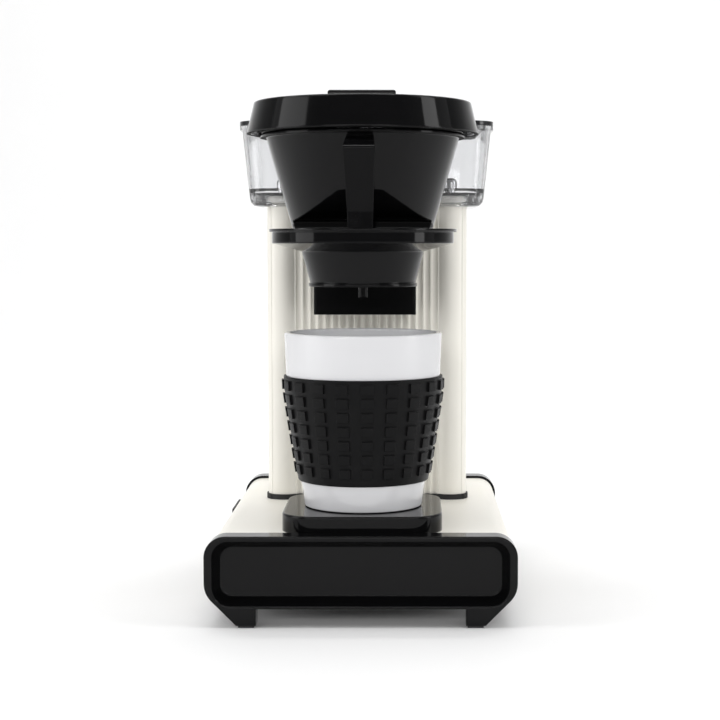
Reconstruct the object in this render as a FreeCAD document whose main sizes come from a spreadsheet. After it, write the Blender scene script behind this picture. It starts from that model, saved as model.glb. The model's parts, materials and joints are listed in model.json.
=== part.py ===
import FreeCAD, Part
import math
import os
import re

import Sketcher

# One-cup drip coffee maker. Millimetres; X to the right, Y to the back, Z up, origin on the table
# under the middle of the whole machine. The front of the machine faces -Y.

os.makedirs("parts", exist_ok=True)
DOC = FreeCAD.newDocument("coffee_maker")
V = FreeCAD.Vector

SIZES = {
    # base
    "base_width": 160.0,
    "base_depth": 230.0,
    "origin_setback": 104.9,
    "pad_height": 1.0,
    "pad_margin": 1.0,
    "belly_height": 9.6,
    "foot_inner": 53.6,
    "foot_outer": 63.7,
    "chamfer_radius": 13.0,
    "plate_top": 47.0,
    "plate_corner": 11.0,
    "plate_thickness": 12.0,
    "plate_edge": 0.7,
    "rim_side": 3.8,
    "rim_head": 2.6,
    "rim_sill": 1.2,
    "recess_depth": 8.5,
    "recess_draft": 4.0,
    "recess_low_corner": 10.0,
    "recess_round_share": 0.6,
    "sleeve_inset": 1.5,
    "sleeve_wall": 1.6,
    "sleeve_foot": 18.0,
    "pan_wall": 1.5,
    "pan_lip": 5.0,
    "vent_count": 7,
    "vent_setback": 66.0,
    "vent_pitch": 9.0,
    "vent_length": 44.0,
    "vent_width": 3.2,
    "vent_round": 1.3,
    "bar_radius": 4.0,
    "bar_reach": 54.0,
    "bar_height": 29.0,
    "screw_radius": 2.0,
    "screw_head_radius": 3.8,
    "screw_head_height": 2.2,
    "screw_grip": 9.0,
    # cup plate, mug and its sleeve
    "pour_setback": 54.0,
    "cup_plate_width": 84.0,
    "cup_plate_depth": 82.0,
    "cup_plate_height": 9.5,
    "cup_plate_corner": 18.0,
    "cup_plate_edge": 0.9,
    "cup_plate_wall": 3.0,
    "cup_plate_shift": 0.5,
    "cup_screw_reach": 26.0,
    "cup_boss_radius": 5.0,
    "mug_gap": 0.3,
    "mug_height": 93.0,
    "mug_rim_radius": 42.2,
    "mug_foot_radius": 31.5,
    "mug_wall": 3.2,
    "mug_knee_radius": 40.9,
    "mug_knee_height": 62.0,
    "mug_knee_round": 120.0,
    "mug_floor": 6.0,
    "mug_foot_ring": 3.2,
    "mug_foot_lift": 1.5,
    "mug_foot_round": 0.8,
    "mug_floor_round": 9.6,
    "wrap_low": 14.0,
    "wrap_high": 70.0,
    "wrap_thickness": 1.4,
    "wrap_edge": 0.5,
    "block_proud": 1.1,
    "block_angle": 9.0,
    "block_height": 5.0,
    "block_pitch": 7.45,
    "block_first": 4.6,
    "block_rows": 7,
    "block_columns": 20,
    # tower
    "tower_setback": 164.0,
    "tower_width": 117.0,
    "tower_depth": 66.0,
    "tower_top": 219.5,
    "column_radius": 9.6,
    "panel_recess": 2.6,
    "tower_wall": 2.6,
    "flute_radius": 2.0,
    "flute_depth": 1.3,
    "flute_count": 19,
    "flute_pitch": 4.4,
    "gasket_height": 3.0,
    "gasket_overhang": 1.0,
    "cap_height": 4.0,
    "cap_inset": 0.6,
    "rod_radius": 2.4,
    "rod_clearance": 0.3,
    "rod_tail": 9.0,
    "nut_radius": 4.0,
    "nut_height": 4.0,
    "dome_height": 6.5,
    "dome_round": 3.2,
    # water tank
    "skirt_height": 217.0,
    "seal_height": 1.6,
    "floor_thickness": 2.4,
    "tank_top": 263.3,
    "tank_low_width": 136.5,
    "tank_low_depth": 78.0,
    "tank_low_corner": 12.0,
    "tank_high_width": 145.0,
    "tank_high_depth": 86.0,
    "tank_high_corner": 16.0,
    "tank_wall": 2.4,
    "tank_foot_round": 5.0,
    "tank_foot_play": 0.5,
    "tank_lip": 1.2,
    "tank_lip_height": 2.3,
    "tank_lid_gap": 0.3,
    "tank_lid_thickness": 2.4,
    "tank_lid_skirt": 3.0,
    "tank_lid_play": 0.6,
    "tank_lid_rib": 1.8,
    "grip_width": 46.0,
    "grip_depth": 9.0,
    "grip_round": 3.6,
    "grip_height": 4.0,
    "grip_setback": 22.0,
    "arm_notch": 11.5,
    # water path
    "riser_setback": 148.0,
    "riser_radius": 4.0,
    "riser_bore": 2.6,
    "boiler_low": 70.0,
    "boiler_high": 190.0,
    "boiler_radius": 9.0,
    "boiler_bore": 4.6,
    "element_radius": 4.5,
    "element_overhang": 3.0,
    "thermostat_radius": 8.0,
    "thermostat_height": 8.0,
    "valve_length": 18.0,
    "valve_radius": 7.0,
    "valve_neck": 4.6,
    "hose_reach": 30.0,
    "hose_radius": 4.5,
    "hose_bore": 2.8,
    "hose_bend": 12.0,
    "hose_top": 211.0,
    "strainer_height": 5.0,
    "strainer_flange": 7.0,
    "strainer_round": 2.0,
    "arm_half_width": 8.0,
    "arm_low": 264.6,
    "arm_height": 6.8,
    "arm_socket": 5.6,
    "arm_edge": 1.5,
    "spray_radius": 12.0,
    "spray_height": 6.4,
    "spray_hole": 0.9,
    "spray_ring": 8.0,
    "spray_holes": 8,
    "spray_round": 1.0,
    # filter basket
    "rim_flange_radius": 54.2,
    "rim_flange_low": 251.2,
    "basket_top": 253.0,
    "basket_wall": 2.2,
    "cone_high_radius": 51.2,
    "cone_low_radius": 37.4,
    "cone_low": 203.2,
    "saucer_lip_radius": 50.0,
    "saucer_lip": 1.4,
    "saucer_radius": 48.5,
    "saucer_low": 195.7,
    "collar_high_radius": 32.8,
    "collar_high": 191.4,
    "collar_low_radius": 28.2,
    "collar_low": 174.6,
    "collar_lip_radius": 29.0,
    "collar_foot": 172.8,
    "nozzle_radius": 2.6,
    "nozzle_bore": 1.6,
    "nozzle_low": 166.8,
    "funnel_radius": 9.0,
    "funnel_low": 178.0,
    "funnel_round": 4.0,
    "belly_top": 32.0,
    "belly_top_reach": 48.2,
    "belly_corner": 6.5,
    "belly_corner_reach": 34.6,
    "belly_round": 36.0,
    "belly_neck": 4.0,
    "belly_neck_reach": 12.7,
    "handle_top": 250.6,
    "handle_bend": 242.8,
    "handle_bend_round": 1.5,
    "handle_reach": 75.0,
    "handle_foot": 49.6,
    "handle_foot_height": 8.5,
    "handle_foot_depth": 5.9,
    "handle_root_depth": 5.2,
    "handle_grip_depth": 7.6,
    "handle_grip_drop": 2.8,
    "handle_grip_round": 3.0,
    "handle_high_width": 13.0,
    "handle_width": 15.6,
    "handle_low_width": 12.6,
    "handle_trim": 1.0,
    # basket lid
    "lid_gap": 0.4,
    "lid_high": 269.8,
    "lid_low_radius": 61.5,
    "lid_high_radius": 57.5,
    "lid_wall": 2.2,
    "lid_edge": 1.0,
    "lid_seat_inner": 50.2,
    "lid_seat_outer": 53.4,
    "lid_lap": 0.4,
    "tunnel_width": 35.6,
    "tunnel_top": 275.4,
    "tunnel_front": 18.0,
    "tunnel_wall": 2.2,
    "tunnel_edge": 1.6,
    # basket bracket
    "bracket_width": 57.0,
    "bracket_low": 156.0,
    "bracket_high": 212.0,
    "bracket_front": 35.0,
    "bracket_play": 0.45,
    "bracket_ease": 1.8,
    "bracket_wall": 3.0,
    "bracket_cheek": 9.0,
    "bracket_edge": 2.0,
    "bracket_screw_reach": 23.5,
    "bracket_screw_low": 163.0,
    "bracket_screw_high": 207.0,
    "bracket_screw_radius": 1.6,
    "bracket_screw_grip": 10.0,
    # power switch and mains side
    "switch_setback": 151.0,
    "switch_height": 31.0,
    "switch_length": 36.0,
    "switch_tall": 14.0,
    "switch_depth": 17.0,
    "bezel_overlap": 1.6,
    "bezel_thickness": 0.9,
    "rocker_length": 31.0,
    "rocker_tall": 9.6,
    "rocker_play": 0.5,
    "rocker_sink": 2.2,
    "rocker_proud": 2.0,
    "rocker_dip": 1.2,
    "rocker_tilt": 5.5,
    "pin_radius": 1.0,
    "pin_play": 0.05,
    "block_length": 34.0,
    "block_depth": 16.0,
    "block_tall": 12.0,
    "block_setback": 175.0,
    "gland_reach": 30.0,
    "gland_height": 28.0,
    "gland_radius": 7.0,
    "gland_flange_radius": 9.5,
    "gland_flange": 2.0,
    "gland_round": 0.8,
    "gland_bore": 3.6,
    "gland_tail": 5.0,
}

# Places that follow from the sizes, written with their names.
PLACES = {
    "front_y": "-origin_setback",
    "rear_y": "base_depth - origin_setback",
    "pour_y": "pour_setback - origin_setback",
    "tower_y": "tower_setback - origin_setback",
    "riser_y": "riser_setback - origin_setback",
    "half_base": "base_width / 2",
    "chamfer_top": "pad_height + base_width / 2 - foot_outer",
    "half_sleeve": "base_width / 2 - sleeve_inset",
    "sleeve_top": "plate_top - sleeve_inset",
    "sleeve_inner": "half_sleeve - sleeve_wall",
    "sleeve_length": "base_depth - 2 * plate_thickness",
    "sleeve_start": "front_y + plate_thickness",
    "cup_plate_top": "sleeve_top + cup_plate_height",
    "cup_plate_y": "pour_y - cup_plate_shift",
    "mug_low": "cup_plate_top + mug_gap",
    "tower_low": "sleeve_top + gasket_height",
    "tower_height": "tower_top - tower_low",
    "core_x": "tower_width / 2 - panel_recess",
    "core_y": "tower_depth / 2 - panel_recess",
    "column_x": "tower_width / 2 - column_radius",
    "column_y": "tower_depth / 2 - column_radius",
    "cap_top": "tower_top + cap_height",
    "floor_low": "cap_top + seal_height",
    "floor_top": "floor_low + floor_thickness",
    "tank_height": "tank_top - skirt_height",
    "floor_share": "(floor_top - skirt_height) / tank_height",
    "inner_low_width": "tank_low_width + (tank_high_width - tank_low_width) * floor_share - 2 * tank_wall",
    "inner_low_depth": "tank_low_depth + (tank_high_depth - tank_low_depth) * floor_share - 2 * tank_wall",
    "inner_high_width": "tank_high_width - 2 * tank_wall",
    "inner_high_depth": "tank_high_depth - 2 * tank_wall",
    "lip_width": "tank_high_width + 2 * tank_lip",
    "lip_depth": "tank_high_depth + 2 * tank_lip",
    "lip_corner": "tank_high_corner + tank_lip",
    "tank_lid_low": "tank_top + tank_lid_gap",
    "riser_reach": "riser_setback - pour_setback",
    "riser_top": "arm_low + arm_socket",
    "valve_low": "boiler_low - valve_length",
    "valve_mid": "boiler_low - valve_length / 2",
    "lid_seat": "basket_top + lid_gap",
    "lid_low": "basket_top + lid_lap",
    "lid_underside": "lid_high - lid_wall",
    "panel_face": "tower_setback - core_y - pour_setback",
    "cone_slope": "(cone_high_radius - cone_low_radius) / (rim_flange_low - cone_low)",
    "switch_y": "switch_setback - origin_setback",
    "rocker_pivot": "half_sleeve - rocker_sink",
    "bar_length": "sleeve_length",
}

SHEET = DOC.addObject("Spreadsheet::Sheet", "Sizes")
for row, (alias, size) in enumerate(SIZES.items(), 1):
    SHEET.set("A%d" % row, str(size))
    SHEET.setAlias("A%d" % row, alias)
DOC.recompute()

NODES = []


def formula(text):
    """Spell a sum of named sizes and places as an expression over the sheet."""
    def spell(match):
        word = match.group()
        if word in PLACES:
            return "(" + formula(PLACES[word]) + ")"
        return "Sizes." + word if word in SIZES else word
    return re.sub(r"[a-z][a-z_]*", spell, str(text))


def number(text):
    return float(SHEET.evalExpression(formula(text)))


def bind(thing, sizes):
    for path, text in sizes.items():
        thing.setExpression(path, formula(text))


def place(thing, x="0", y="0", z="0", turn=None):
    """Set a piece's place from named values, and its turn as (axis, degrees)."""
    if turn:
        thing.Placement = FreeCAD.Placement(V(0, 0, 0), FreeCAD.Rotation(V(*turn[0]), turn[1]))
    bind(thing, {"Placement.Base.x": x, "Placement.Base.y": y, "Placement.Base.z": z})


def node(thing, name):
    """Name a finished piece and put it on the list of pieces to write."""
    thing.Label = name
    NODES.append(thing)
    return thing


def new_body(name, x="0", y="0", z="0", turn=None):
    body = DOC.addObject("PartDesign::Body", name + "_body")
    place(body, x, y, z, turn)
    return body


def new_sketch(body, plane, lift="0"):
    sketch = body.newObject("Sketcher::SketchObject", "sketch")
    support = [item for item in body.Origin.OriginFeatures if item.Role == plane + "_Plane"]
    sketch.AttachmentSupport = (support[0], [""])
    sketch.MapMode = "FlatFace"
    bind(sketch, {"AttachmentOffset.Base.z": lift})
    return sketch


def corner_arc(before, at, after, radius):
    """Find the arc that rounds a corner: its two tangent points, its centre and its sense."""
    to_before = (before - at).normalize()
    to_after = (after - at).normalize()
    half = to_before.getAngle(to_after) / 2
    reach = radius / math.tan(half)
    centre = at + (to_before + to_after).normalize() * (radius / math.sin(half))
    left_turn = to_after.cross(to_before).z > 0
    return at + to_before * reach, at + to_after * reach, centre, left_turn


def add_loop(sketch, corners, closed=True):
    """Draw lines through corners (u, v) or (u, v, radius), each held by named distances."""
    spots = [V(number(c[0]), number(c[1]), 0) for c in corners]
    count = len(corners)
    rounds = {}
    for i, corner in enumerate(corners):
        if len(corner) == 3:
            rounds[i] = corner_arc(spots[i - 1], spots[i], spots[(i + 1) % count], number(corner[2]))
    lines = {}
    for i in range(count if closed else count - 1):
        j = (i + 1) % count
        start = rounds[i][1] if i in rounds else spots[i]
        end = rounds[j][0] if j in rounds else spots[j]
        lines[i] = sketch.addGeometry(Part.LineSegment(start, end), False)
    rules = []
    sizes = []

    def hold(rule, text):
        sizes.append((len(rules), text))
        rules.append(rule)

    for i, corner in enumerate(corners):
        back = lines.get((i - 1) % count)
        ahead = lines.get(i)
        if i in rounds:
            start, end, centre, left_turn = rounds[i]
            radius = number(corner[2])
            first, last = (start, end) if left_turn else (end, start)
            angles = [math.atan2(p.y - centre.y, p.x - centre.x) for p in (first, last)]
            arc = sketch.addGeometry(Part.ArcOfCircle(Part.Circle(centre, V(0, 0, 1), radius), *angles), False)
            tip = sketch.addGeometry(Part.Point(spots[i]), True)
            near, far = (1, 2) if left_turn else (2, 1)
            rules.append(Sketcher.Constraint("Tangent", back, 2, arc, near))
            rules.append(Sketcher.Constraint("Tangent", arc, far, ahead, 1))
            rules.append(Sketcher.Constraint("PointOnObject", tip, 1, back))
            rules.append(Sketcher.Constraint("PointOnObject", tip, 1, ahead))
            hold(Sketcher.Constraint("Radius", arc, radius), corner[2])
            point = (tip, 1)
        elif ahead is not None:
            point = (ahead, 1)
            if back is not None:
                rules.append(Sketcher.Constraint("Coincident", back, 2, ahead, 1))
        else:
            point = (back, 2)
        hold(Sketcher.Constraint("DistanceX", -1, 1, point[0], point[1], spots[i].x), corner[0])
        hold(Sketcher.Constraint("DistanceY", -1, 1, point[0], point[1], spots[i].y), corner[1])
    first_rule = sketch.ConstraintCount
    sketch.addConstraint(rules)
    for index, text in sizes:
        sketch.setExpression("Constraints[%d]" % (first_rule + index), formula(text))


def add_circle(sketch, u, v, radius):
    circle = sketch.addGeometry(Part.Circle(V(number(u), number(v), 0), V(0, 0, 1), number(radius)), False)
    first_rule = sketch.ConstraintCount
    sketch.addConstraint([
        Sketcher.Constraint("DistanceX", -1, 1, circle, 3, number(u)),
        Sketcher.Constraint("DistanceY", -1, 1, circle, 3, number(v)),
        Sketcher.Constraint("Radius", circle, number(radius)),
    ])
    for index, text in enumerate((u, v, radius)):
        sketch.setExpression("Constraints[%d]" % (first_rule + index), formula(text))


def oblong(half_u, half_v, radius=None, mid_v="0"):
    """List the corners of a centred rectangle, rounded if a radius is given."""
    ends = [("-(%s)", "-(%s)"), ("(%s)", "-(%s)"), ("(%s)", "(%s)"), ("-(%s)", "(%s)")]
    corners = [(u % half_u, "%s + %s" % (mid_v, v % half_v)) for u, v in ends]
    return [c + (radius,) for c in corners] if radius else corners


def span(u0, v0, u1, v1):
    return [(u0, v0), (u1, v0), (u1, v1), (u0, v1)]


def feature(body, kind, sketch, sizes, reverse=False, **settings):
    item = body.newObject("PartDesign::" + kind, kind.lower())
    item.Profile = sketch
    item.Reversed = reverse
    for key, value in settings.items():
        setattr(item, key, value)
    bind(item, sizes)
    sketch.Visibility = False
    DOC.recompute()
    return item


def pad(body, sketch, length, reverse=False):
    return feature(body, "Pad", sketch, {"Length": length}, reverse)


def pocket(body, sketch, depth, reverse=False):
    return feature(body, "Pocket", sketch, {"Length": depth}, reverse)


def revolve(body, corners, kind="Revolution"):
    """Turn an outline of (radius, height) corners once around the body's own upright axis."""
    sketch = new_sketch(body, "YZ")
    add_loop(sketch, corners)
    DOC.recompute()
    return feature(body, kind, sketch, {}, ReferenceAxis=(sketch, ["V_Axis"]), Angle=360.0)


def plane_feature(body, plane, loops, depth, lift="0", cut=False, reverse=False):
    """Pad or pocket one sketch of loops and circles drawn on a plane of the body."""
    sketch = new_sketch(body, plane, lift)
    for loop in loops:
        if isinstance(loop, tuple):
            add_circle(sketch, *loop)
        else:
            add_loop(sketch, loop)
    DOC.recompute()
    return (pocket if cut else pad)(body, sketch, depth, reverse)


def loft(body, sections, cut=False):
    """Blend outlines, given as (height, corners), into one solid or one cut."""
    sketches = []
    for lift, corners in sections:
        sketch = new_sketch(body, "XY", lift)
        add_loop(sketch, corners)
        sketches.append(sketch)
    DOC.recompute()
    kind = "PartDesign::SubtractiveLoft" if cut else "PartDesign::AdditiveLoft"
    item = body.newObject(kind, "loft")
    item.Profile = sketches[0]
    item.Sections = sketches[1:]
    item.Ruled = True
    DOC.recompute()
    return item


def round_edges(body, chosen, radius):
    """Round the edges of the body's last shape for which chosen(edge) holds."""
    last = body.Tip
    names = ["Edge%d" % i for i, edge in enumerate(last.Shape.Edges, 1) if chosen(edge)]
    item = body.newObject("PartDesign::Fillet", "fillet")
    item.Base = (last, names)
    bind(item, {"Radius": radius})
    DOC.recompute()
    return item


def pattern(body, item, kind, settings, sizes):
    repeat = body.newObject("PartDesign::" + kind, kind.lower())
    repeat.Originals = [item]
    for key, value in settings.items():
        setattr(repeat, key, value)
    bind(repeat, sizes)
    body.Tip = repeat
    DOC.recompute()
    return repeat


def level_with(height):
    """Make a test for edges that lie wholly at one height of the body's own frame."""
    def test(edge):
        box = edge.BoundBox
        return abs(box.ZMin - height) < 0.01 and abs(box.ZMax - height) < 0.01
    return test


def cylinder(radius, height, x="0", y="0", z="0", turn=None):
    item = DOC.addObject("Part::Cylinder", "cylinder")
    bind(item, {"Radius": radius, "Height": height})
    place(item, x, y, z, turn)
    return item


def box(length, width, height, x="0", y="0", z="0"):
    item = DOC.addObject("Part::Box", "box")
    bind(item, {"Length": length, "Width": width, "Height": height})
    place(item, x, y, z)
    return item


def cut(base, tool):
    item = DOC.addObject("Part::Cut", "cut")
    item.Base = base
    item.Tool = tool
    return item


def group(pieces):
    item = DOC.addObject("Part::Compound", "group")
    item.Links = pieces
    return item


ALONG_Y = ((1, 0, 0), -90)
ALONG_X = ((0, 1, 0), 90)
SIDES = ("-", "")


def plate_outline():
    half = [
        ("foot_inner", "belly_height"),
        ("foot_inner", "pad_height"),
        ("foot_outer", "pad_height"),
        ("half_base", "chamfer_top", "chamfer_radius"),
        ("half_base", "plate_top", "plate_corner"),
    ]
    mirrored = [("-" + corner[0],) + corner[1:] for corner in reversed(half)]
    return half + mirrored


def recess_outline(inset):
    """The rim's inner edge, moved inwards by the wall's draft where inset is given."""
    side = "half_base - rim_side - %s" % inset
    sill = "belly_height + rim_sill + %s" % inset
    head = "plate_top - rim_head - %s" % inset
    low_round = "recess_low_corner - %s" % inset
    high_round = "plate_corner - rim_head - recess_round_share * %s" % inset
    return [
        ("-(%s)" % side, sill, low_round),
        (side, sill, low_round),
        (side, head, high_round),
        ("-(%s)" % side, head, high_round),
    ]


def end_plate(name, y, turn):
    """One end cover of the base, with two feet and a recessed panel; its outer face is at y = 0."""
    body = new_body(name, y=y, turn=turn)
    plane_feature(body, "XZ", [plate_outline()], "plate_thickness", reverse=True)
    mouth = new_sketch(body, "XZ")
    add_loop(mouth, recess_outline("0"))
    panel = new_sketch(body, "XZ", "-recess_depth")
    add_loop(panel, recess_outline("recess_draft"))
    DOC.recompute()
    recess = body.newObject("PartDesign::SubtractiveLoft", "recess")
    recess.Profile = mouth
    recess.Sections = [panel]
    recess.Ruled = True
    DOC.recompute()

    def on_outer_face(edge):
        return abs(edge.BoundBox.YMin) < 0.01 and abs(edge.BoundBox.YMax) < 0.01
    round_edges(body, on_outer_face, "plate_edge")
    return body


def make_end_plates():
    node(end_plate("front_plate", "front_y", None), "front_plate")
    rear = end_plate("rear_plate", "rear_y", ((0, 0, 1), 180))
    holes = [(side + "bar_reach", "bar_height", "screw_radius") for side in SIDES]
    holes.append(("-gland_reach", "gland_height", "gland_radius"))
    plane_feature(rear, "XZ", holes, "plate_thickness", cut=True)
    node(rear, "rear_plate")


def column_spots():
    return [(sx + "column_x", sy + "column_y") for sx in SIDES for sy in SIDES]


def make_sleeve():
    body = new_body("base_sleeve", y="sleeve_start")
    profile = [
        ("-half_sleeve", "sleeve_foot"),
        ("-half_sleeve", "sleeve_top", "plate_corner - sleeve_inset"),
        ("half_sleeve", "sleeve_top", "plate_corner - sleeve_inset"),
        ("half_sleeve", "sleeve_foot"),
        ("sleeve_inner", "sleeve_foot"),
        ("sleeve_inner", "sleeve_top - sleeve_wall", "plate_corner - sleeve_inset - sleeve_wall"),
        ("-sleeve_inner", "sleeve_top - sleeve_wall", "plate_corner - sleeve_inset - sleeve_wall"),
        ("-sleeve_inner", "sleeve_foot"),
    ]
    plane_feature(body, "XZ", [profile], "sleeve_length", reverse=True)
    tower = "tower_y - sleeve_start"
    holes = [(u, "%s + %s" % (tower, v), "rod_radius + rod_clearance") for u, v in column_spots()]
    holes.append(("0", "riser_y - sleeve_start", "boiler_radius"))
    holes += [(side + "cup_screw_reach", "cup_plate_y - sleeve_start", "screw_radius") for side in SIDES]
    plane_feature(body, "XY", holes, "2 * sleeve_wall", lift="sleeve_top", cut=True)
    window = oblong("switch_length / 2", "switch_tall / 2")
    window = [("switch_y - sleeve_start + " + u, "switch_height + " + v) for u, v in window]
    plane_feature(body, "YZ", [window], "half_base", cut=True)
    node(body, "base_sleeve")


def make_pan():
    body = new_body("base_pan", y="sleeve_start")
    lip = "sleeve_foot + pan_lip"
    profile = [
        ("-sleeve_inner", lip),
        ("-sleeve_inner", "sleeve_foot", "2 * pan_wall"),
        ("sleeve_inner", "sleeve_foot", "2 * pan_wall"),
        ("sleeve_inner", lip),
        ("sleeve_inner - pan_wall", lip),
        ("sleeve_inner - pan_wall", "sleeve_foot + pan_wall", "pan_wall"),
        ("-(sleeve_inner - pan_wall)", "sleeve_foot + pan_wall", "pan_wall"),
        ("-(sleeve_inner - pan_wall)", lip),
    ]
    plane_feature(body, "XZ", [profile], "sleeve_length", reverse=True)
    slots = []
    for row in range(int(number("vent_count"))):
        middle = "vent_setback + %d * vent_pitch" % row
        slots.append(oblong("vent_length / 2", "vent_width / 2", "vent_round", middle))
    plane_feature(body, "XY", slots, "2 * pan_wall", lift="sleeve_foot", cut=True, reverse=True)
    node(body, "base_pan")


def make_tie_bars():
    bars = []
    screws = []
    for side in SIDES:
        spot = {"x": side + "bar_reach", "z": "bar_height"}
        bar = cylinder("bar_radius", "bar_length", y="sleeve_start", turn=ALONG_Y, **spot)
        thread = cylinder("screw_radius", "2 * screw_grip", y="rear_y - plate_thickness - screw_grip",
                          turn=ALONG_Y, **spot)
        bars.append(cut(bar, thread))
        floor = "rear_y - recess_depth"
        shank = cylinder("screw_radius", "screw_grip", turn=ALONG_Y, y=floor + " - screw_grip", **spot)
        head = cylinder("screw_head_radius", "screw_head_height", turn=ALONG_Y, y=floor, **spot)
        screw = DOC.addObject("Part::Fuse", "screw")
        screw.Base = shank
        screw.Tool = head
        screws.append(screw)
    node(group(bars), "tie_bars")
    node(group(screws), "rear_screws")


def make_foot_pads():
    pads = []
    width = "foot_outer - foot_inner - 2 * pad_margin"
    for side in ("foot_inner + pad_margin", "-foot_outer + pad_margin"):
        for y in ("front_y + pad_margin", "rear_y - plate_thickness + pad_margin"):
            pads.append(box(width, "plate_thickness - 2 * pad_margin", "pad_height", side, y))
    node(group(pads), "foot_pads")


def make_cup_plate():
    body = new_body("cup_plate", y="cup_plate_y", z="sleeve_top")
    outline = oblong("cup_plate_width / 2", "cup_plate_depth / 2", "cup_plate_corner")
    plane_feature(body, "XY", [outline], "cup_plate_height")
    round_edges(body, level_with(number("cup_plate_height")), "cup_plate_edge")
    hollow = oblong("cup_plate_width / 2 - cup_plate_wall", "cup_plate_depth / 2 - cup_plate_wall",
                    "cup_plate_corner - cup_plate_wall")
    plane_feature(body, "XY", [hollow], "cup_plate_height - cup_plate_wall", cut=True, reverse=True)
    bosses = [(side + "cup_screw_reach", "0", "cup_boss_radius") for side in SIDES]
    plane_feature(body, "XY", bosses, "cup_plate_height - cup_plate_wall / 2")
    holes = [(side + "cup_screw_reach", "0", "screw_radius") for side in SIDES]
    plane_feature(body, "XY", holes, "cup_plate_height - cup_plate_wall", cut=True, reverse=True)
    node(body, "cup_plate")
    screws = []
    for side in SIDES:
        spot = {"x": side + "cup_screw_reach", "y": "cup_plate_y"}
        under = "sleeve_top - sleeve_wall"
        shank = cylinder("screw_radius", "sleeve_wall + cup_plate_height - cup_plate_wall", z=under, **spot)
        head = cylinder("screw_head_radius", "screw_head_height", z=under + " - screw_head_height", **spot)
        screw = DOC.addObject("Part::Fuse", "screw")
        screw.Base = shank
        screw.Tool = head
        screws.append(screw)
    node(group(screws), "cup_plate_screws")


def wall_radius(height):
    """Outer radius of the mug at a height over its foot: a leaning wall below the knee, a steeper one above."""
    if number(height) < number("mug_knee_height"):
        rise = "(mug_knee_radius - mug_foot_radius) / mug_knee_height"
        return "mug_foot_radius + (%s) * %s" % (height, rise)
    rise = "(mug_rim_radius - mug_knee_radius) / (mug_height - mug_knee_height)"
    return "mug_knee_radius + (%s - mug_knee_height) * %s" % (height, rise)


def make_mug():
    body = new_body("mug", y="pour_y", z="mug_low")
    floor_radius = wall_radius("mug_floor") + " - mug_wall"
    revolve(body, [
        ("0", "mug_foot_lift"),
        ("mug_foot_radius - mug_foot_ring - mug_foot_lift", "mug_foot_lift"),
        ("mug_foot_radius - mug_foot_ring", "0"),
        ("mug_foot_radius", "0", "mug_foot_round"),
        ("mug_knee_radius", "mug_knee_height", "mug_knee_round"),
        ("mug_rim_radius", "mug_height", "mug_wall / 2.6"),
        ("mug_rim_radius - mug_wall", "mug_height", "mug_wall / 2.6"),
        ("mug_knee_radius - mug_wall", "mug_knee_height", "mug_knee_round"),
        (floor_radius, "mug_floor", "mug_floor_round"),
        ("0", "mug_floor"),
    ])
    node(body, "mug")


def block_profile(mid):
    """Section of one raised block of the mug's sleeve, leaning with the wall behind it."""
    low = "%s - block_height / 2" % mid
    high = "%s + block_height / 2" % mid
    root = " + wrap_thickness / 2"
    face = " + wrap_thickness + block_proud"
    return [
        (wall_radius(low) + root, low),
        (wall_radius(low) + face, low),
        (wall_radius(high) + face, high),
        (wall_radius(high) + root, high),
    ]


def make_mug_sleeve():
    body = new_body("mug_sleeve", y="pour_y", z="mug_low")
    revolve(body, [
        (wall_radius("wrap_low"), "wrap_low"),
        (wall_radius("wrap_low") + " + wrap_thickness", "wrap_low", "wrap_edge"),
        ("mug_knee_radius + wrap_thickness", "mug_knee_height", "mug_knee_round"),
        (wall_radius("wrap_high") + " + wrap_thickness", "wrap_high", "wrap_edge"),
        (wall_radius("wrap_high"), "wrap_high"),
        ("mug_knee_radius", "mug_knee_height", "mug_knee_round"),
    ])
    sketch = new_sketch(body, "YZ")
    for row in range(int(number("block_rows"))):
        add_loop(sketch, block_profile("wrap_high - block_first - %d * block_pitch" % row))
    DOC.recompute()
    blocks = feature(body, "Revolution", sketch, {"Angle": "block_angle"}, ReferenceAxis=(sketch, ["V_Axis"]))
    pattern(body, blocks, "PolarPattern", {"Axis": (sketch, ["V_Axis"]), "Angle": 360.0},
            {"Occurrences": "block_columns"})
    node(body, "mug_sleeve")


def tower_outline(body, grow, height, lift="0"):
    """A rectangular core with a round column on each corner, grown outwards all round."""
    core = oblong("core_x + " + grow, "core_y + " + grow)
    plane_feature(body, "XY", [core], height, lift)
    columns = [(u, v, "column_radius + " + grow) for u, v in column_spots()]
    plane_feature(body, "XY", columns, height, lift)


def cavity():
    return oblong("core_x - tower_wall", "core_y - tower_wall", "tower_wall")


def rod_holes():
    return [(u, v, "rod_radius + rod_clearance") for u, v in column_spots()]


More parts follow.
